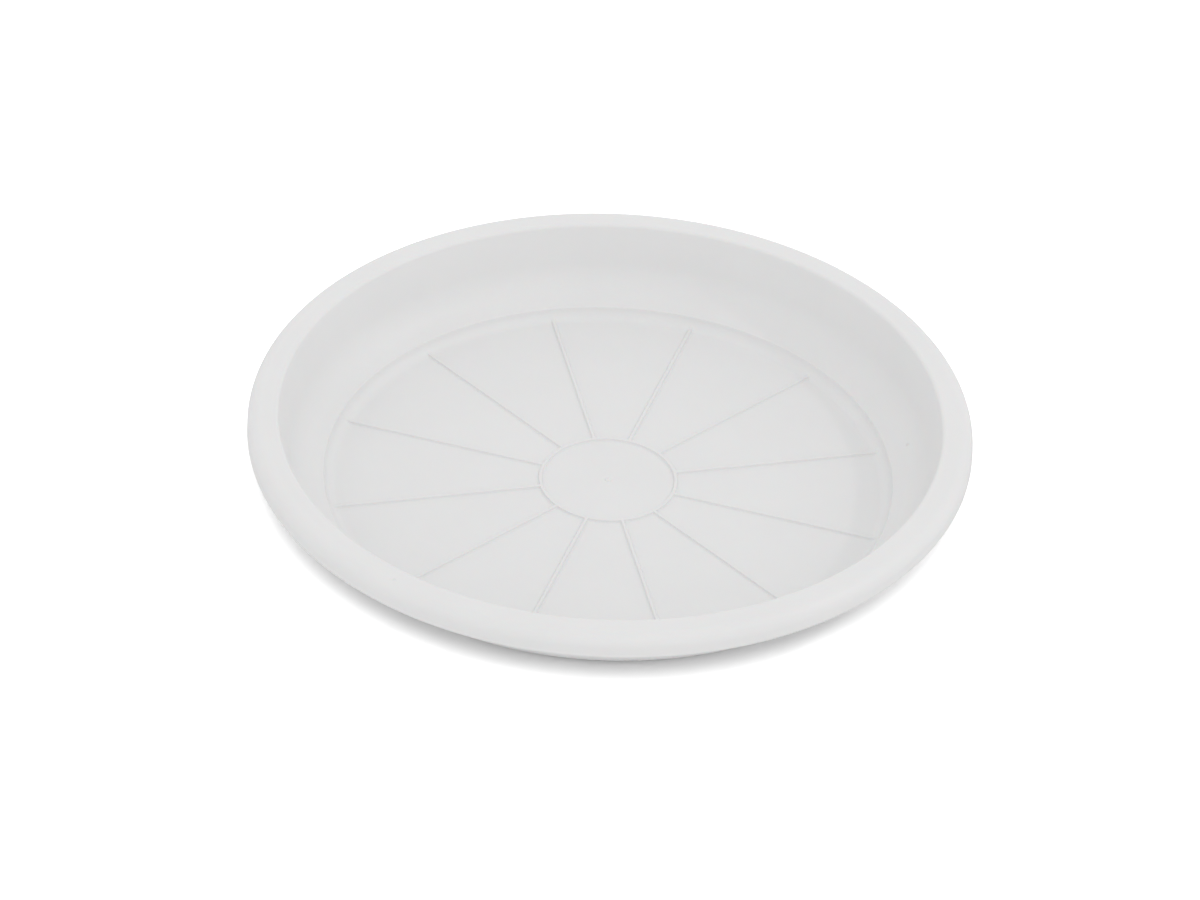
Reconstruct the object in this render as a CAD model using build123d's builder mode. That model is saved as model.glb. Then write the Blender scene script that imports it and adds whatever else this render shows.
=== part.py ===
from build123d import *
import math
import os

# A round plant saucer, moulded in one piece: a flat floor in a shallow well, a wall that sweeps up
# from the well's edge, and a rim that turns outwards and hangs down. Millimetres, +Z up. The origin
# is the middle of the flat underside, on the surface that the saucer stands on.

# Overall
outer_diameter = 300.0
overall_height = 37.5
wall = 2.0

# Rim: a flat top, a rounded outer edge, and a lip that hangs down
rim_width = 12.8
rim_edge_radius = 5.5
lip_depth = 9.6
lip_lean = 2.0

# Wall: a straight leaning part below the mouth, a large sweep, and a ledge that falls gently inwards
mouth_chamfer = 1.0
wall_lean = 15.0
ledge_width = 11.25
ledge_slope = 14.5
ledge_flat = 0.55

# Well: the floor that holds the water, and the small riser round it
riser_height = 4.8
riser_lean = 15.0
riser_foot_radius = 5.5

# Ribs on the floor: spokes, and the ring that they run out of
rib_count = 12
rib_height = 0.9
rib_top_width = 1.1
rib_side_lean = 24.0
rib_root_share = 0.25
ring_diameter = 56.5

# Mark of the moulding gate in the middle of the floor
gate_diameter = 2.4
gate_height = 0.4
gate_chamfer = 0.2

# Worked out: radii, and heights above the underside
outer_radius = outer_diameter / 2
mouth_radius = outer_radius - rim_width
ring_radius = ring_diameter / 2
floor_top = wall
riser_top = floor_top + riser_height
lip_end = overall_height - lip_depth

# Worked out: sideways run for each millimetre of rise
riser_run = math.tan(math.radians(riser_lean))
wall_run = math.tan(math.radians(wall_lean))
lip_run = math.tan(math.radians(lip_lean))
rib_side_run = math.tan(math.radians(rib_side_lean))

# Worked out: the heel, where the wall and the ledge would meet, and the radius that sweeps round it
# and leaves only the ledge's flat. The turns are in degrees.
heel_height = riser_top + ledge_width * math.tan(math.radians(ledge_slope))
heel_radius = mouth_radius - (overall_height - heel_height) * wall_run
well_radius = heel_radius - ledge_width
foot_turn = 90 - riser_lean
rim_turn = 90 - lip_lean
heel_turn = 90 - wall_lean - ledge_slope
ledge_length = ledge_width / math.cos(math.radians(ledge_slope))
sweep_radius = (ledge_length - ledge_flat) / math.tan(math.radians(heel_turn / 2))

# Corners of the upper skin, from the axis out to the end of the lip
foot = (well_radius - riser_height * riser_run, floor_top)
crest = (well_radius, riser_top)
heel = (heel_radius, heel_height)
mouth = (mouth_radius, overall_height)
rim_corner = (outer_radius - lip_depth * lip_run, overall_height)
lip = (outer_radius, lip_end)


def steps_round(radius, turn):
    """Lengths of a chamfer, and of the second one on each edge that it leaves, that follow an arc."""
    halves = (math.radians(turn / 2), math.radians(turn / 4))
    return [radius * (1 / math.cos(half) - 1) / math.sin(half) for half in halves]


# Corners of the underside: the upper skin's, a wall's thickness further down and out
with BuildLine() as upper_skin:
    Polyline((0, floor_top), foot, crest, heel, mouth, rim_corner, lip)
with BuildLine() as under_skin:
    offset(
        upper_skin.wire(),
        amount=wall,
        kind=Kind.INTERSECTION,
        side=Side.RIGHT,
        closed=False,
        mode=Mode.ADD,
    )
under_foot, under_heel, under_rim, under_lip = [
    under_skin.vertices().sort_by_distance(corner)[0] for corner in (foot, heel, rim_corner, lip)
]

# Cross-section of the shell between the two skins. The sweep and the rim's edge are rounded, and the
# small corners and the underside's are eased in flat steps.
rounded_corners = ((heel, sweep_radius), (rim_corner, rim_edge_radius))
stepped_corners = (
    (foot, steps_round(riser_foot_radius, foot_turn)),
    (under_foot, steps_round(riser_foot_radius + wall, foot_turn)),
    (under_heel, steps_round(sweep_radius + wall, heel_turn)),
    (under_rim, steps_round(rim_edge_radius - wall, rim_turn)),
)
with BuildSketch() as shell_section:
    with BuildLine():
        add(upper_skin.line)
        add(under_skin.line)
        Line((0, 0), (0, floor_top))
        Line(lip, under_lip)
    make_face()
    for corner, radius in rounded_corners:
        fillet(shell_section.vertices().sort_by_distance(corner)[0], radius=radius)
    chamfer(shell_section.vertices().sort_by_distance(mouth)[0], length=mouth_chamfer)
    for corner, (first_length, second_length) in stepped_corners:
        chamfer(shell_section.vertices().sort_by_distance(corner)[0], length=first_length)
        chamfer(shell_section.vertices().sort_by_distance(corner)[:2], length=second_length)

# Cross-section of a rib: drafted sides, and a root that goes down into the floor
rib_root = wall * rib_root_share
half_top = rib_top_width / 2
half_root = half_top + (rib_height + rib_root) * rib_side_run
with BuildSketch() as rib_section:
    with BuildLine():
        Polyline(
            (-half_root, -rib_root),
            (half_root, -rib_root),
            (half_top, rib_height),
            (-half_top, rib_height),
            close=True,
        )
    make_face()

# One spoke along X, from the ring's middle line to the foot of the riser, which buries its end
spoke_start = Plane(origin=(ring_radius, 0, floor_top), x_dir=(0, 1, 0), z_dir=(1, 0, 0))
with BuildPart() as spoke:
    with BuildSketch(spoke_start):
        add(rib_section.sketch)
    extrude(amount=foot[0] - ring_radius)

with BuildPart() as saucer:
    # The moulded shell
    with BuildSketch(Plane.XZ):
        add(shell_section.sketch)
    revolve(axis=Axis.Z)

    # The ring
    with BuildSketch(Plane.XZ):
        with Locations((ring_radius, floor_top)):
            add(rib_section.sketch)
    revolve(axis=Axis.Z)

    # The spokes, turned by half a step so that the X and Y axes run between two of them
    with PolarLocations(radius=0, count=rib_count, start_angle=180 / rib_count):
        add(spoke.part)

    # The gate mark
    with BuildSketch(Plane.XY.offset(floor_top)):
        Circle(gate_diameter / 2)
    extrude(amount=gate_height)
    chamfer(saucer.edges(Select.LAST).group_by(Axis.Z)[-1], length=gate_chamfer)

os.makedirs("parts", exist_ok=True)

saucer.part.label = "saucer"
export_step(saucer.part, "parts/saucer.step")
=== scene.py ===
import math

import bpy
import numpy as np
from bpy.props import FloatProperty, FloatVectorProperty, IntProperty, PointerProperty
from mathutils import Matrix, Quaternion, Vector


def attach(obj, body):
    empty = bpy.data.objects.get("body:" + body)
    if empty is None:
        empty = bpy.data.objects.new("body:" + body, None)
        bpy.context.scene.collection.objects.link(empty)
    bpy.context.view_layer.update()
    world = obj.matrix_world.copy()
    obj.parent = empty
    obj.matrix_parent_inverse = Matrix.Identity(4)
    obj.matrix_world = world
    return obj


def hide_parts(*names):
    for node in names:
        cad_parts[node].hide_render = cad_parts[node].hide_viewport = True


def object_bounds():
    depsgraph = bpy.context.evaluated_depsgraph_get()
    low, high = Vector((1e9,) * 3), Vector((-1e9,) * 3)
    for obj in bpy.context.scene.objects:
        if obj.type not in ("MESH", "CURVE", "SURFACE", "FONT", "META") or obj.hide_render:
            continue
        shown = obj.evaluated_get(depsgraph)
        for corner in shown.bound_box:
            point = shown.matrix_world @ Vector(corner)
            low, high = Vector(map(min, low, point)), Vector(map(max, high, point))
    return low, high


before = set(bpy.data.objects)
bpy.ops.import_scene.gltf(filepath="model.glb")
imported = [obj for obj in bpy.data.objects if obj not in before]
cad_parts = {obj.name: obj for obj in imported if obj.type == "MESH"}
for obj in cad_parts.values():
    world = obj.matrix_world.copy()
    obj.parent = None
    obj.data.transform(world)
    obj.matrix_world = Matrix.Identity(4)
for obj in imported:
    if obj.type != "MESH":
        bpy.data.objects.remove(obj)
CAD_LOW, CAD_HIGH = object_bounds()

bl_info = {
    "name": "Plant Saucer",
    "version": (1, 0, 0),
    "blender": (4, 5, 0),
    "location": "View3D > Sidebar > Saucer",
    "description": "Builds a moulded plant saucer, its plastic and a small photo studio",
    "category": "Add Mesh",
}

NODE = "saucer"
MM = 0.001

# Fineness of the section: how far a chord may lie off its arc, how far the support point stands
# from an arc, and the longest step along a flat
ARC_CHORD = 0.015 * MM
ARC_SUPPORT = 0.25 * MM
LONGEST_STEP = 6.0 * MM

# Small forms: the hollow where two ribs or a rib and the riser meet, and the gate mark's dimple
RIB_BLEND = 0.4 * MM
GATE_DIMPLE = 0.1 * MM

# Where the floor's unevenness starts and stops, and how gradually
DRIFT_FROM, DRIFT_FADE_IN = 20 * MM, 30 * MM
DRIFT_TO, DRIFT_FADE_OUT = 110 * MM, 25 * MM

# Faces of the base: this low, and turned this far down
BASE_BAND = 0.5 * MM
FACING_DOWN = -0.95

# Small marks of the plastic: place, radius, and rise as a share of the marks' height
SMALL_MARKS = (
    ((0.12417, 0.02517, 0.0110), 1.3 * MM, 1.0),
    ((-0.07919, -0.12045, 0.0375), 1.1 * MM, -0.9),
    ((-0.13280, 0.00174, 0.0212), 1.2 * MM, 0.35),
)

# Stage: half the floor's side, each lamp's place and spread in degrees, and the camera's sensor in
# millimetres with its clipping distances
FLOOR_HALF = 6.0
LAMPS = {
    "side_lamp": ((2.0, 0.0, 2.07), 2.5),
    "front_lamp": ((0.3, -2.0, 2.4), 50.0),
    "floor_lamp": ((0.1, -2.0, 2.4), 20.0),
}
SENSOR_WIDTH = 36.0
CLIP_NEAR, CLIP_FAR = 0.05, 50.0
WHITE = (1.0, 1.0, 1.0, 1.0)


# Settings


def length(name, description, default):
    """A length in metres, shown in the scene's own unit."""
    return FloatProperty(
        name=name, description=description, default=default, min=0.0, unit="LENGTH", precision=5
    )


def angle(name, description, degrees):
    return FloatProperty(
        name=name, description=description, default=math.radians(degrees), subtype="ANGLE"
    )


def share(name, description, default):
    return FloatProperty(
        name=name, description=description, default=default, min=0.0, max=1.0, subtype="FACTOR"
    )


def strength(name, description, default):
    return FloatProperty(name=name, description=description, default=default, min=0.0)


def colour(name, description, default):
    return FloatVectorProperty(
        name=name, description=description, default=default, min=0.0, max=1.0, subtype="COLOR"
    )


def place(name, description, default):
    return FloatVectorProperty(
        name=name, description=description, default=default, subtype="TRANSLATION", unit="LENGTH"
    )


class SaucerSizes(bpy.types.PropertyGroup):
    """Sizes of the moulding."""

    outer_diameter: length("Outer diameter", "Across the rim's lip", CAD_HIGH.x - CAD_LOW.x)
    overall_height: length("Height", "From the underside to the rim's top", CAD_HIGH.z)
    wall: length("Wall", "Thickness of the plastic", 2.0 * MM)
    rim_width: length("Rim width", "From the mouth's edge to the lip", 12.8 * MM)
    rim_edge_radius: length("Rim edge radius", "Rounding of the rim's outer edge", 5.5 * MM)
    lip_depth: length("Lip depth", "How far the lip hangs down", 9.6 * MM)
    lip_lean: angle("Lip lean", "Lean of the lip from the vertical", 2.0)
    mouth_radius: length("Mouth edge radius", "Rounding of the edge above the wall", 1.6 * MM)
    wall_lean: angle("Wall lean", "Lean of the straight wall from the vertical", 15.0)
    ledge_width: length("Ledge width", "From the well's edge to the wall's line", 11.25 * MM)
    ledge_slope: angle("Ledge slope", "Slope of the ledge round the well", 14.5)
    ledge_flat: length("Ledge flat", "What the sweep leaves of the ledge", 0.55 * MM)
    riser_height: length("Riser height", "Step from the floor up to the ledge", 4.8 * MM)
    riser_lean: angle("Riser lean", "Lean of the riser from the vertical", 15.0)
    riser_foot_radius: length("Riser foot radius", "Rounding where floor and riser meet", 5.5 * MM)
    crest_radius: length("Crest radius", "Rounding of the well's upper edge", 0.45 * MM)
    core_radius: length("Core radius", "Rounding of the underside's inner corners", 0.8 * MM)
    rib_count: IntProperty(name="Spokes", description="Spokes on the floor", default=12, min=3)
    rib_height: length("Rib height", "Height of the spokes and the ring", 0.9 * MM)
    rib_top_width: length("Rib top width", "Width of a rib's top", 1.1 * MM)
    rib_side_lean: angle("Rib side lean", "Draft of a rib's sides", 24.0)
    rib_top_radius: length("Rib top radius", "Rounding of a rib's top edges", 0.25 * MM)
    rib_root_radius: length("Rib root radius", "Hollow between a rib and the floor", 0.4 * MM)
    ring_diameter: length("Ring diameter", "Across the middle line of the ring", 56.5 * MM)
    gate_diameter: length("Gate diameter", "Mark where the plastic was fed in", 2.4 * MM)
    gate_height: length("Gate height", "How far the gate mark stands up", 0.4 * MM)
    floor_drift: length("Floor drift", "How far the floor is out of flat", 0.05 * MM)


class SaucerFinish(bpy.types.PropertyGroup):
    """Look of the plastic."""

    plastic: colour("Plastic", "Colour of the moulded plastic", (0.80, 0.80, 0.80))
    roughness: share("Roughness", "Roughness of the moulded skin", 0.42)
    grain_depth: length("Grain depth", "Depth of the fine mould grain", 0.012 * MM)
    scuffs: share("Scuffs", "How strongly handling marks show", 0.25)
    base_scuffs: share("Base scuffs", "How strongly the underside is rubbed", 0.8)
    mark_height: length("Mark height", "Height of the small moulding marks", 0.25 * MM)
    mark_shade: share("Mark shade", "How much darker the small moulding marks are", 0.06)


class StudioSettings(bpy.types.PropertyGroup):
    """Floor, light and camera."""

    floor: colour("Floor", "Colour of the floor, as it lights the saucer", (0.55, 0.55, 0.55))
    floor_lift: strength("Floor lift", "How much paler the camera sees the floor", 0.58)
    sky_top: strength("Sky, overhead", "White light from above", 0.85)
    sky_side: strength("Sky, level", "White light from the sides", 1.0)
    side_lamp: strength("Side lamp", "The small lamp at the right", 0.16)
    front_lamp: strength("Front lamp", "The broad lamp over the camera", 0.11)
    floor_lamp: strength("Floor lamp", "The lamp that lights only the floor", 2.2)
    camera_lens: FloatProperty(
        name="Lens", description="Focal length in millimetres", default=150.0, min=1.0
    )
    camera_place: place("Camera place", "Where the camera stands", (0.04693, -1.66440, 1.25687))
    camera_aim: place("Camera aim", "What the camera looks at", (-0.00377, -0.00362, 0.02000))
    camera_roll: angle("Camera roll", "Turn of the camera about its line of sight", 2.376)


# Section of the moulding


def arc_points(corner, way_in, way_out, radius, tangent, chord):
    """Points of the arc that rounds a corner between two directions."""
    turn = 2 * math.atan2(tangent, radius)
    side = 1.0 if way_in[0] * way_out[1] > way_in[1] * way_out[0] else -1.0
    normal = side * np.array((-way_in[1], way_in[0]))
    middle = corner - way_in * tangent + normal * radius
    steps = math.ceil(turn / (2 * math.acos(1 - chord / radius)))
    turned = [turn * i / steps for i in range(steps + 1)]
    return [middle + radius * (way_in * math.sin(a) - normal * math.cos(a)) for a in turned]


def rounded_line(corners, chord=ARC_CHORD, support=ARC_SUPPORT):
    """Points along a line of corners (across, up, radius), with an arc at each corner inside it.
    Beside an arc, a support point keeps the flat next to it flat under smooth shading."""
    places = [np.array(corner[:2]) for corner in corners]
    lengths = [np.linalg.norm(b - a) for a, b in zip(places, places[1:])]
    ways = [(b - a) / size for a, b, size in zip(places, places[1:], lengths)]
    turns = [0.0] + [math.acos(np.clip(a @ b, -1.0, 1.0)) for a, b in zip(ways, ways[1:])] + [0.0]
    tangents = [corner[2] * math.tan(turn / 2) for corner, turn in zip(corners, turns)]
    free = [size - a - b for size, a, b in zip(lengths, tangents, tangents[1:])]
    if min(free) < 0:
        raise ValueError(f"the arcs of a section overlap by {-min(free) / MM:.2f} mm")
    room = 2.2 * support
    points = [places[0]]
    for i in range(1, len(corners) - 1):
        before, after = free[i - 1] > room, free[i] > room
        if before:
            points.append(places[i] - ways[i - 1] * (tangents[i] + support))
        points += arc_points(places[i], ways[i - 1], ways[i], corners[i][2], tangents[i], chord)
        if after:
            points.append(places[i] + ways[i] * (tangents[i] + support))
    return points + [places[-1]]


def divided(points, longest):
    """The same line, with long stretches cut into equal parts."""
    line = [points[0]]
    for start, end in zip(points, points[1:]):
        parts = max(1, math.ceil(np.linalg.norm(end - start) / longest))
        line += [start + (end - start) * i / parts for i in range(1, parts + 1)]
    return line


def offset_corners(corners, distance):
    """The corners of the same line, moved sideways to its right by a distance."""
    points = [np.array(corner) for corner in corners]
    ways = [(b - a) / np.linalg.norm(b - a) for a, b in zip(points, points[1:])]
    sides = [np.array((way[1], -way[0])) for way in ways]
    moved = [points[0] + sides[0] * distance]
    for point, one, two in zip(points[1:], sides, sides[1:]):
        moved.append(point + (one + two) * distance / (1 + one @ two))
    return moved + [points[-1] + sides[-1] * distance]


def shell_corners(s):
    """Corners (across, up, radius) of the moulding's section: the upper skin from the riser's foot
    out to the lip, and the underside back to the axis, a wall's thickness away."""
    outer, wall, top = s.outer_diameter / 2, s.wall, s.overall_height
    mouth = outer - s.rim_width
    riser_top = wall + s.riser_height
    heel_up = riser_top + s.ledge_width * math.tan(s.ledge_slope)
    heel = mouth - (top - heel_up) * math.tan(s.wall_lean)
    well = heel - s.ledge_width
    ledge = s.ledge_width / math.cos(s.ledge_slope)
    sweep = (ledge - s.ledge_flat) / math.tan((math.pi / 2 - s.wall_lean - s.ledge_slope) / 2)
    upper = [
        (well - s.riser_height * math.tan(s.riser_lean), wall),
        (well, riser_top),
        (heel, heel_up),
        (mouth, top),
        (outer - s.lip_depth * math.tan(s.lip_lean), top),
        (outer, top - s.lip_depth),
    ]
    under = offset_corners([(0.0, wall)] + upper, wall)[:0:-1]
    lip_round = 0.48 * wall
    upper_radii = (
        s.riser_foot_radius, s.crest_radius, sweep, s.mouth_radius, s.rim_edge_radius, lip_round
    )
    under_radii = (
        lip_round, s.rim_edge_radius - wall, s.core_radius, sweep, s.core_radius,
        s.riser_foot_radius + wall / 4,
    )
    corners = [(x, z, r) for (x, z), r in zip(upper + under, upper_radii + under_radii)]
    return corners + [(0.0, 0.0, 0.0)]


def rib_section(s):
    """How high a rib stands at each distance from its middle line."""
    foot = s.rib_top_width / 2 + s.rib_height * math.tan(s.rib_side_lean)
    corners = [
        (0.0, s.rib_height, 0.0),
        (s.rib_top_width / 2, s.rib_height, s.rib_top_radius),
        (foot, 0.0, s.rib_root_radius),
        (foot + 0.8 * MM, 0.0, 0.0),
    ]
    points = np.array(rounded_line(corners, chord=0.02 * MM, support=0.12 * MM))
    return points[:, 0], points[:, 1]


def blended_top(one, two, blend):
    """The higher of two heights above the floor, with a small hollow where they cross. The hollow
    fades out where the lower of them comes down to the floor."""
    fade, tiny = 0.3 * blend, 1e-9
    width = blend * np.clip(np.minimum(one, two) / fade, 0.0, 1.0) + tiny
    near = np.maximum(width - np.abs(one - two), 0.0) / width
    return np.maximum(one, two) + near**2 * width / 4


# Mesh of the moulding


class Columns:
    """The columns of the saucer's mesh. Near a spoke they run parallel to it, at the distances
    where its section turns, and between two spokes they fan out evenly."""

    even = 7
    narrowest, widest = 20.0 * MM, 114.0 * MM

    def __init__(self, s):
        self.offsets, self.heights = rib_section(s)
        self.sector = 2 * math.pi / s.rib_count
        beside = len(self.offsets) - 1
        per_sector = 2 * (beside + self.even)
        kept = [0] + list(range(beside, per_sector - beside + 1))
        self.total = per_sector * s.rib_count
        self.coarse = [k * per_sector + mark for k in range(s.rib_count) for mark in kept]
        self.spokes = [self.sector * (k + 0.5) for k in range(s.rib_count)]

    def angles(self, radius):
        """Angle of every column at a radius, counter-clockwise from the first spoke."""
        at = min(max(radius, self.narrowest), self.widest)
        near = np.arcsin(self.offsets / at)
        between = np.linspace(near[-1], self.sector / 2, self.even + 1)[1:]
        half = np.concatenate((near, between))
        whole = np.concatenate((half, self.sector - half[-2:0:-1]))
        return np.concatenate([spoke + whole for spoke in self.spokes])


def floor_relief(s, columns, radius, angles):
    """Height of the ribs over the floor along one row of the mesh."""
    off_spoke = np.mod(angles, columns.sector) - columns.sector / 2
    across = radius * np.abs(np.sin(off_spoke))
    ring_radius = s.ring_diameter / 2
    spoke = np.interp(across, columns.offsets, columns.heights) * float(radius >= ring_radius)
    ring = np.interp(abs(radius - ring_radius), columns.offsets, columns.heights)
    return blended_top(spoke, np.full_like(spoke, ring), RIB_BLEND)


def floor_drift(s, x, y):
    """The floor's slow rise and fall, from cooling in the mould. It fades out towards the gate and
    towards the riser."""
    radius = np.hypot(x, y)
    fade_in = np.clip((radius - DRIFT_FROM) / DRIFT_FADE_IN, 0, 1)
    fade_out = np.clip((DRIFT_TO - radius) / DRIFT_FADE_OUT, 0, 1)
    inside = fade_in * fade_out
    waves = np.sin(x * 71 + 0.6) * np.cos(y * 58 - 0.9) + 0.5 * np.sin(x * 37 - y * 96 + 2.1)
    return s.floor_drift * inside * waves


def mesh_rows(s, columns):
    """Rows of the mesh, (radius, height, all columns, ribbed), from the middle of the floor out
    over the rim and back along the underside to its middle."""
    wall, ring, gate = s.wall, s.ring_diameter / 2, s.gate_diameter / 2
    gate_top = wall + s.gate_height
    mark = [
        (0.0, gate_top - GATE_DIMPLE, 0.0),
        (0.45 * gate, gate_top, 0.5 * MM),
        (gate - 0.1 * MM, gate_top - 0.1 * MM, 0.25 * MM),
        (gate + 0.2 * MM, wall, 0.3 * MM),
        (gate + 2.0 * MM, wall, 0.0),
    ]
    rows = [(r, z, False, False) for r, z in rounded_line(mark, support=0.1 * MM)[1:]]
    rows += [(r * MM, wall, False, False) for r in (6.0, 10.0, 15.0)]
    rows += [(r * MM, wall, True, True) for r in (19.0, 23.0)]
    across_ring = np.concatenate((-columns.offsets[::-1], columns.offsets[1:]))
    rows += [(ring + step, wall, True, True) for step in across_ring]
    corners = shell_corners(s)
    section = divided(rounded_line([(ring + across_ring[-1], wall, 0.0)] + corners), LONGEST_STEP)
    crest, wall_middle = corners[1][0], corners[2][0] + 4.0 * MM
    turned_back = False
    for r, z in section[1:-1]:
        turned_back = turned_back or r > wall_middle
        rows.append((r, z, not turned_back, r < crest and not turned_back))
    return rows


def skin_between(inner, outer):
    """Faces between two rows, each a dict from column to vertex. Where one row has fewer columns,
    a face takes up all the other row's points between two of them."""
    fewer, more = sorted((inner, outer), key=len)
    marks, every = list(fewer), list(more)
    place_of = {column: i for i, column in enumerate(every)}
    faces = []
    for column, following in zip(marks, marks[1:] + marks[:1]):
        first, last = place_of[column], place_of[following] or len(every)
        edge = [more[every[i % len(every)]] for i in range(first, last + 1)]
        if fewer is inner:
            faces.append([fewer[column]] + edge + [fewer[following]])
        else:
            faces.append([fewer[column], fewer[following]] + edge[::-1])
    return faces


def saucer_mesh(s):
    """The moulding as one closed mesh."""
    columns = Columns(s)
    points, faces = [], []
    rings = []
    for radius, height, every, ribbed in mesh_rows(s, columns):
        angles = columns.angles(radius)
        up = np.full_like(angles, height)
        x, y = radius * np.cos(angles), radius * np.sin(angles)
        if ribbed:
            relief = floor_relief(s, columns, radius, angles)
            up = s.wall + blended_top(relief, up - s.wall, RIB_BLEND) + floor_drift(s, x, y)
        used = range(columns.total) if every else columns.coarse
        rings.append({column: len(points) + i for i, column in enumerate(used)})
        points += [(x[column], y[column], up[column]) for column in used]
    for inner, outer in zip(rings, rings[1:]):
        faces += skin_between(inner, outer)
    first, last = list(rings[0].values()), list(rings[-1].values())
    points += [(0.0, 0.0, s.wall + s.gate_height - GATE_DIMPLE), (0.0, 0.0, 0.0)]
    top, bottom = len(points) - 2, len(points) - 1
    faces += [(top, a, b) for a, b in zip(first, first[1:] + first[:1])]
    faces += [(a, bottom, b) for a, b in zip(last, last[1:] + last[:1])]
    mesh = bpy.data.meshes.new("saucer_moulding")
    mesh.from_pydata(points, [], faces)
    return mesh


# Shading


def new_node(tree, kind, at, fixed=(), **settings):
    """A node at a place in the tree, counted in columns and rows. A setting named after an input
    sets its value, and fixed holds pairs (number of the input, value)."""
    across, up = 200, 160
    node = tree.nodes.new(kind)
    node.location = (at[0] * across, at[1] * up)
    for name, value in settings.items():
        if hasattr(node, name):
            setattr(node, name, value)
        else:
            node.inputs[name.replace("_", " ")].default_value = value
    for number, value in fixed:
        node.inputs[number].default_value = value
    return node


def join(tree, *pairs):
    """Links (node, output) to (node, input) for each pair."""
    for (source, output), (target, socket) in pairs:
        tree.links.new(source.outputs[output], target.inputs[socket])


def new_group(name, inputs, outputs):
    """An empty node group with its inputs (name, kind, value) and outputs (name, kind)."""
    tree = bpy.data.node_groups.new(name, "ShaderNodeTree")
    for label, kind, value in inputs:
        socket = tree.interface.new_socket(name=label, in_out="INPUT", socket_type=kind)
        if value is not None:
            socket.default_value = value
    for label, kind in outputs:
        tree.interface.new_socket(name=label, in_out="OUTPUT", socket_type=kind)
    return tree, tree.nodes.new("NodeGroupInput"), tree.nodes.new("NodeGroupOutput")


def mould_grain_group():
    """Fine grain that the mould's blasted steel leaves, with a slower unevenness under it."""
    tree, inward, outward = new_group(
        "Mould grain",
        [("Position", "NodeSocketVector", None), ("Grain Scale", "NodeSocketFloat", 3000.0)],
        [("Height", "NodeSocketFloat")],
    )
    fine = new_node(tree, "ShaderNodeTexNoise", (1, 1), Detail=3.0, Roughness=0.6)
    slow = new_node(tree, "ShaderNodeTexNoise", (1, 0), Scale=190.0, Detail=2.0, Roughness=0.5)
    slow_share = ((1, 1.6),)
    slow_part = new_node(tree, "ShaderNodeMath", (2, 0), slow_share, operation="MULTIPLY")
    total = new_node(tree, "ShaderNodeMath", (3, 1), operation="ADD")
    join(
        tree,
        ((inward, "Position"), (fine, "Vector")),
        ((inward, "Position"), (slow, "Vector")),
        ((inward, "Grain Scale"), (fine, "Scale")),
        ((slow, "Fac"), (slow_part, 0)),
        ((fine, "Fac"), (total, 0)),
        ((slow_part, 0), (total, 1)),
        ((total, 0), (outward, "Height")),
    )
    return tree


def handling_marks_group():
    """Fine scratches in two directions and a few rubbed patches, as a mask."""
    tree, inward, outward = new_group(
        "Handling marks",
        [("Position", "NodeSocketVector", None), ("Amount", "NodeSocketFloat", 0.3)],
        [("Mask", "NodeSocketFloat")],
    )
    scratches = []
    for i, (turn, stretch) in enumerate(((0.5, (90, 2400, 300)), (2.2, (1900, 70, 300)))):
        turned = new_node(
            tree, "ShaderNodeMapping", (1, 2 - i), Rotation=(0.0, 0.0, turn), Scale=stretch
        )
        lines = new_node(tree, "ShaderNodeTexNoise", (2, 2 - i), Scale=1.0, Detail=1.0)
        sharp = new_node(tree, "ShaderNodeMapRange", (3, 2 - i), From_Min=0.66, From_Max=0.74)
        join(
            tree,
            ((inward, "Position"), (turned, "Vector")),
            ((turned, "Vector"), (lines, "Vector")),
            ((lines, "Fac"), (sharp, "Value")),
        )
        scratches.append(sharp)
    patches = new_node(tree, "ShaderNodeTexNoise", (2, 0), Scale=38.0, Detail=4.0, Roughness=0.65)
    worn = new_node(tree, "ShaderNodeMapRange", (3, 0), From_Min=0.45, From_Max=0.7)
    both = new_node(tree, "ShaderNodeMath", (4, 2), operation="MAXIMUM")
    where = new_node(tree, "ShaderNodeMath", (5, 1), operation="MULTIPLY")
    rubbed_share = ((1, 0.35),)
    rubbed = new_node(tree, "ShaderNodeMath", (5, 0), rubbed_share, operation="MULTIPLY")
    total = new_node(tree, "ShaderNodeMath", (6, 1), operation="ADD")
    scaled = new_node(tree, "ShaderNodeMath", (7, 1), operation="MULTIPLY", use_clamp=True)
    join(
        tree,
        ((inward, "Position"), (patches, "Vector")),
        ((patches, "Fac"), (worn, "Value")),
        ((scratches[0], "Result"), (both, 0)),
        ((scratches[1], "Result"), (both, 1)),
        ((both, 0), (where, 0)),
        ((worn, "Result"), (where, 1)),
        ((worn, "Result"), (rubbed, 0)),
        ((where, 0), (total, 0)),
        ((rubbed, 0), (total, 1)),
        ((total, 0), (scaled, 0)),
        ((inward, "Amount"), (scaled, 1)),
        ((scaled, 0), (outward, "Mask")),
    )
    return tree


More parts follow.
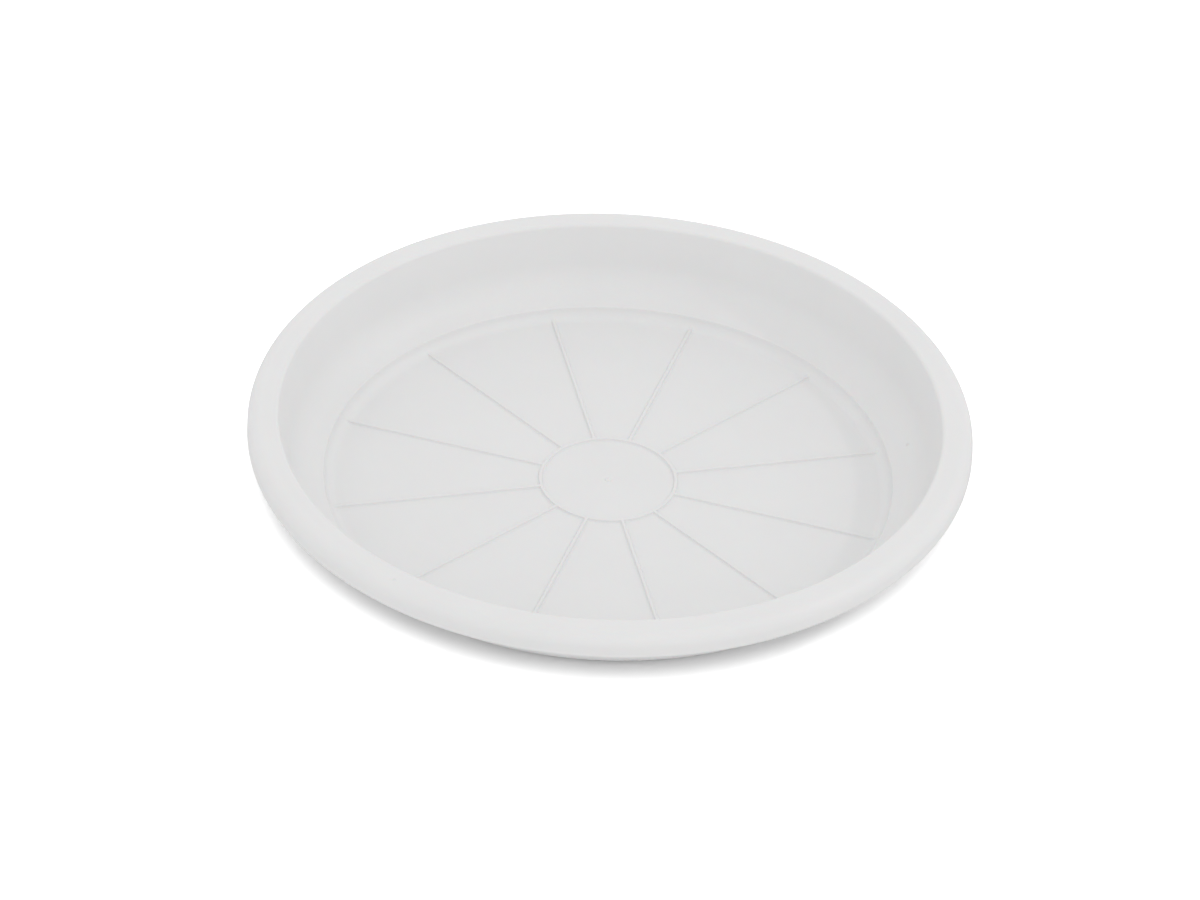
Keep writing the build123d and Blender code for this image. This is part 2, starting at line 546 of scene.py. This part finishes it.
def small_marks_group():
    """Two pips that the mould left on the wall and a nick in the rim's top, each 2 to 3 mm across:
    their relief, and a factor that darkens the colour there."""
    tree, inward, outward = new_group(
        "Small marks",
        [("Position", "NodeSocketVector", None), ("Darker", "NodeSocketFloat", 0.06)],
        [("Height", "NodeSocketFloat"), ("Shade", "NodeSocketFloat")],
    )
    relief, spots = (new_node(tree, "ShaderNodeValue", (1, y)).outputs[0] for y in (1, 0))
    for i, (at, radius, rise) in enumerate(SMALL_MARKS):
        away = new_node(tree, "ShaderNodeVectorMath", (1, -1 - i), [(1, at)], operation="DISTANCE")
        near = new_node(
            tree, "ShaderNodeMapRange", (2, -1 - i), interpolation_type="SMOOTHSTEP",
            From_Max=radius, To_Min=1.0, To_Max=0.0,
        )
        join(tree, ((inward, "Position"), (away, 0)), ((away, "Value"), (near, "Value")))
        raised, spotted = (
            new_node(tree, "ShaderNodeMath", (3 + i, y), [(1, part)], operation="MULTIPLY_ADD")
            for y, part in ((1, rise), (0, abs(rise)))
        )
        join(tree, ((near, "Result"), (raised, 0)), ((near, "Result"), (spotted, 0)))
        tree.links.new(relief, raised.inputs[2])
        tree.links.new(spots, spotted.inputs[2])
        relief, spots = raised.outputs[0], spotted.outputs[0]
    darker = new_node(tree, "ShaderNodeMath", (7, 0), operation="MULTIPLY")
    shade = new_node(tree, "ShaderNodeMath", (8, 0), [(0, 1.0)], operation="SUBTRACT")
    tree.links.new(spots, darker.inputs[0])
    tree.links.new(relief, outward.inputs["Height"])
    join(
        tree,
        ((inward, "Darker"), (darker, 1)),
        ((darker, 0), (shade, 1)),
        ((shade, 0), (outward, "Shade")),
    )
    return tree


def tone_drift_group():
    """Slow, faint change of shade over the surface, with small flecks, on top of one colour."""
    tree, inward, outward = new_group(
        "Tone drift",
        [
            ("Position", "NodeSocketVector", None),
            ("Colour", "NodeSocketColor", (0.8, 0.8, 0.8, 1.0)),
            ("Drift", "NodeSocketFloat", 0.02),
            ("Flecks", "NodeSocketFloat", 0.05),
        ],
        [("Colour", "NodeSocketColor")],
    )
    cloud = new_node(tree, "ShaderNodeTexNoise", (1, 1), Scale=24.0, Detail=4.0, Roughness=0.6)
    centred = new_node(
        tree, "ShaderNodeMapRange", (2, 1), From_Min=0.3, From_Max=0.7, To_Min=-1.0
    )
    drift = new_node(tree, "ShaderNodeMath", (3, 1), operation="MULTIPLY")
    cells = new_node(tree, "ShaderNodeTexVoronoi", (1, 0), Scale=130.0)
    spot = new_node(
        tree, "ShaderNodeMapRange", (2, 0), From_Min=0.02, From_Max=0.05, To_Min=1.0, To_Max=0.0
    )
    fleck = new_node(tree, "ShaderNodeMath", (3, 0), operation="MULTIPLY")
    shade = new_node(tree, "ShaderNodeMath", (4, 1), operation="SUBTRACT")
    factor = new_node(tree, "ShaderNodeMath", (5, 1), [(1, 1.0)], operation="ADD")
    painted = new_node(tree, "ShaderNodeVectorMath", (6, 1), operation="MULTIPLY")
    join(
        tree,
        ((inward, "Position"), (cloud, "Vector")),
        ((inward, "Position"), (cells, "Vector")),
        ((cloud, "Fac"), (centred, "Value")),
        ((centred, "Result"), (drift, 0)),
        ((inward, "Drift"), (drift, 1)),
        ((cells, "Distance"), (spot, "Value")),
        ((spot, "Result"), (fleck, 0)),
        ((inward, "Flecks"), (fleck, 1)),
        ((drift, 0), (shade, 0)),
        ((fleck, 0), (shade, 1)),
        ((shade, 0), (factor, 0)),
        ((inward, "Colour"), (painted, 0)),
        ((factor, 0), (painted, 1)),
        ((painted, 0), (outward, "Colour")),
    )
    return tree


def group_node(tree, at, name, build, **inputs):
    """A shared node group in the tree with its inputs set, built the first time that it is used."""
    shared = bpy.data.node_groups.get(name) or build()
    return new_node(tree, "ShaderNodeGroup", at, node_tree=shared, **inputs)


def new_material(name):
    """A material with only an output node, and its tree."""
    material = bpy.data.materials.new(name)
    material.use_nodes = True
    tree = material.node_tree
    tree.nodes.clear()
    return material, tree, new_node(tree, "ShaderNodeOutputMaterial", (6, 0))


def plastic_material(name, finish, marks, drift, flecks):
    """Satin moulded polypropylene: fine grain, faint handling marks, a few small moulding marks,
    and a slow drift of shade. Marks are rougher than the skin, and lie a little lower."""
    rougher, lower = 0.2, -0.6
    material, tree, output = new_material(name)
    where = new_node(tree, "ShaderNodeTexCoord", (-1, 0))
    tone = group_node(
        tree, (1, 2), "Tone drift", tone_drift_group,
        Colour=(*finish.plastic, 1.0), Drift=drift, Flecks=flecks,
    )
    worn = group_node(tree, (1, 1), "Handling marks", handling_marks_group, Amount=marks)
    grain = group_node(tree, (1, 0), "Mould grain", mould_grain_group)
    small = group_node(tree, (1, -1), "Small marks", small_marks_group, Darker=finish.mark_shade)
    pips = new_node(tree, "ShaderNodeBump", (3, -1), Strength=1.0, Distance=finish.mark_height)
    shaded = new_node(tree, "ShaderNodeVectorMath", (3, 2), operation="SCALE")
    rough = new_node(
        tree, "ShaderNodeMapRange", (3, 1),
        To_Min=finish.roughness, To_Max=finish.roughness + rougher,
    )
    scratched = new_node(tree, "ShaderNodeMath", (2, 0), [(1, lower)], operation="MULTIPLY_ADD")
    relief = new_node(tree, "ShaderNodeBump", (4, 0), Strength=1.0, Distance=finish.grain_depth)
    skin = new_node(
        tree, "ShaderNodeBsdfPrincipled", (5, 1),
        IOR=1.49, Subsurface_Weight=0.08, Subsurface_Scale=1.5 * MM,
    )
    join(
        tree,
        ((where, "Object"), (tone, "Position")),
        ((where, "Object"), (worn, "Position")),
        ((where, "Object"), (grain, "Position")),
        ((where, "Object"), (small, "Position")),
        ((tone, "Colour"), (shaded, "Vector")),
        ((small, "Shade"), (shaded, "Scale")),
        ((shaded, "Vector"), (skin, "Base Color")),
        ((small, "Height"), (pips, "Height")),
        ((pips, "Normal"), (relief, "Normal")),
        ((worn, "Mask"), (rough, "Value")),
        ((rough, "Result"), (skin, "Roughness")),
        ((worn, "Mask"), (scratched, 0)),
        ((grain, "Height"), (scratched, 2)),
        ((scratched, 0), (relief, "Height")),
        ((relief, "Normal"), (skin, "Normal")),
        ((skin, "BSDF"), (output, "Surface")),
    )
    return material


def floor_material(studio):
    """Matt pale paper. The camera sees it whiter than it lights the saucer."""
    material, tree, output = new_material("studio_paper")
    where = new_node(tree, "ShaderNodeTexCoord", (-1, 0))
    tone = group_node(
        tree, (1, 1), "Tone drift", tone_drift_group,
        Colour=(*studio.floor, 1.0), Drift=0.004, Flecks=0.0,
    )
    paper = new_node(tree, "ShaderNodeBsdfDiffuse", (3, 1))
    seen = new_node(tree, "ShaderNodeLightPath", (1, -1))
    share_seen = ((1, studio.floor_lift),)
    lift = new_node(tree, "ShaderNodeMath", (2, -1), share_seen, operation="MULTIPLY")
    paler = new_node(tree, "ShaderNodeBsdfDiffuse", (3, 0))
    both = new_node(tree, "ShaderNodeAddShader", (4, 0))
    join(
        tree,
        ((where, "Object"), (tone, "Position")),
        ((tone, "Colour"), (paper, "Color")),
        ((seen, "Is Camera Ray"), (lift, 0)),
        ((lift, 0), (paler, "Color")),
        ((paper, "BSDF"), (both, 0)),
        ((paler, "BSDF"), (both, 1)),
        ((both, "Shader"), (output, "Surface")),
    )
    return material


# Steps that build the scene


def add_piece(name, mesh):
    """A smooth-shaded object of the mesh, in the scene."""
    mesh.shade_smooth()
    piece = bpy.data.objects.new(name, mesh)
    bpy.context.scene.collection.objects.link(piece)
    return piece


class SAUCER_OT_moulding(bpy.types.Operator):
    """Build the moulded saucer with its ribs, rim and gate mark"""

    bl_idname = "saucer.moulding"
    bl_label = "Moulded saucer"

    def execute(self, context):
        sizes, finish = context.scene.saucer_sizes, context.scene.saucer_finish
        mesh = saucer_mesh(sizes)
        mesh.validate()
        for name, marks, drift, flecks in (
            ("white_polypropylene", finish.scuffs, 0.01, 0.02),
            ("rubbed_polypropylene", finish.base_scuffs, 0.02, 0.05),
        ):
            mesh.materials.append(plastic_material(name, finish, marks, drift, flecks))
        for face in mesh.polygons:
            on_base = face.normal.z < FACING_DOWN and face.center.z < BASE_BAND
            face.material_index = int(on_base)
        saucer = add_piece("saucer_moulding", mesh)
        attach(saucer, "root")
        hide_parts(NODE)
        return {"FINISHED"}


class SAUCER_OT_studio(bpy.types.Operator):
    """Set up the pale floor, the soft light and the camera"""

    bl_idname = "saucer.studio"
    bl_label = "Studio"

    def execute(self, context):
        studio = context.scene.saucer_studio
        build_floor(studio)
        build_sky(studio)
        build_lamps(studio)
        build_camera(studio)
        context.scene.view_settings.view_transform = "Standard"
        return {"FINISHED"}


def build_floor(studio):
    """A wide sheet of paper under the saucer."""
    turns = ((-1, -1), (1, -1), (1, 1), (-1, 1))
    corners = [(x * FLOOR_HALF, y * FLOOR_HALF, 0) for x, y in turns]
    mesh = bpy.data.meshes.new("studio_floor")
    mesh.from_pydata(corners, [], [(0, 1, 2, 3)])
    mesh.materials.append(floor_material(studio))
    floor = add_piece("studio_floor", mesh)


def build_sky(studio):
    """White light from all round, a little stronger from the sides, seen as plain white."""
    world = bpy.data.worlds.new("studio_white")
    bpy.context.scene.world = world
    world.use_nodes = True
    tree = world.node_tree
    tree.nodes.clear()
    output = new_node(tree, "ShaderNodeOutputWorld", (5, 0))
    way = new_node(tree, "ShaderNodeTexCoord", (-1, 0))
    parts = new_node(tree, "ShaderNodeSeparateXYZ", (0, 0))
    light = new_node(
        tree, "ShaderNodeMapRange", (1, 0), To_Min=studio.sky_side, To_Max=studio.sky_top
    )
    seen = new_node(tree, "ShaderNodeLightPath", (1, 2))
    brightness = new_node(tree, "ShaderNodeMapRange", (2, 1), To_Max=1.0)
    white = new_node(tree, "ShaderNodeBackground", (4, 0), Color=WHITE)
    join(
        tree,
        ((way, "Generated"), (parts, "Vector")),
        ((parts, "Z"), (light, "Value")),
        ((light, "Result"), (brightness, "To Min")),
        ((seen, "Is Camera Ray"), (brightness, "Value")),
        ((brightness, "Result"), (white, "Strength")),
        ((white, "Background"), (output, "Surface")),
    )


def aimed(at, towards):
    """Rotation that points an object's -Z from one place towards another."""
    return (Vector(towards) - Vector(at)).to_track_quat("-Z", "Y")


def build_lamps(studio):
    """A weak lamp high at the right, small enough that the rim's shadow shows in the well, a broad
    one over the camera, and one in front that is flagged off the saucer: it lights only the
    floor."""
    for name, (at, spread) in LAMPS.items():
        lamp = bpy.data.lights.new(name, "SUN")
        lamp.energy = getattr(studio, name)
        lamp.angle = math.radians(spread)
        holder = bpy.data.objects.new(name, lamp)
        holder.location = at
        holder.rotation_mode = "QUATERNION"
        holder.rotation_quaternion = aimed(at, (0.0, 0.0, 0.0))
        bpy.context.scene.collection.objects.link(holder)
    spared = bpy.data.collections.new("not_lit_by_floor_lamp")
    spared.objects.link(bpy.data.objects["saucer_moulding"])
    for member in spared.collection_objects:
        member.light_linking.link_state = "EXCLUDE"
    bpy.data.objects["floor_lamp"].light_linking.receiver_collection = spared


def build_camera(studio):
    """The camera, at the photograph's angle."""
    lens = bpy.data.cameras.new("camera")
    lens.lens, lens.sensor_width = studio.camera_lens, SENSOR_WIDTH
    lens.clip_start, lens.clip_end = CLIP_NEAR, CLIP_FAR
    camera = bpy.data.objects.new("camera", lens)
    camera.location = studio.camera_place
    camera.rotation_mode = "QUATERNION"
    roll = Quaternion((0.0, 0.0, 1.0), studio.camera_roll)
    camera.rotation_quaternion = aimed(studio.camera_place, studio.camera_aim) @ roll
    bpy.context.scene.collection.objects.link(camera)
    bpy.context.scene.camera = camera


# Panel and registration

STEPS = (SAUCER_OT_moulding, SAUCER_OT_studio)


class SAUCER_PT_panel(bpy.types.Panel):
    """The steps that build the saucer, and their settings"""

    bl_label = "Plant saucer"
    bl_space_type = "VIEW_3D"
    bl_region_type = "UI"
    bl_category = "Saucer"

    def draw(self, context):
        for step in STEPS:
            self.layout.operator(step.bl_idname)
        for group in ("saucer_sizes", "saucer_finish", "saucer_studio"):
            settings = getattr(context.scene, group)
            box = self.layout.box()
            for name in settings.__annotations__:
                box.prop(settings, name)


SETTINGS = {
    "saucer_sizes": SaucerSizes,
    "saucer_finish": SaucerFinish,
    "saucer_studio": StudioSettings,
}


def register():
    for group in SETTINGS.values():
        bpy.utils.register_class(group)
    for name, group in SETTINGS.items():
        setattr(bpy.types.Scene, name, PointerProperty(type=group))
    for step in STEPS:
        bpy.utils.register_class(step)
    bpy.utils.register_class(SAUCER_PT_panel)


def unregister():
    bpy.utils.unregister_class(SAUCER_PT_panel)
    for step in reversed(STEPS):
        bpy.utils.unregister_class(step)
    for name, group in SETTINGS.items():
        delattr(bpy.types.Scene, name)
        bpy.utils.unregister_class(group)


def main():
    register()
    for step in STEPS:
        area, name = step.bl_idname.split(".")
        getattr(getattr(bpy.ops, area), name)()


if __name__ == "__main__":
    main()
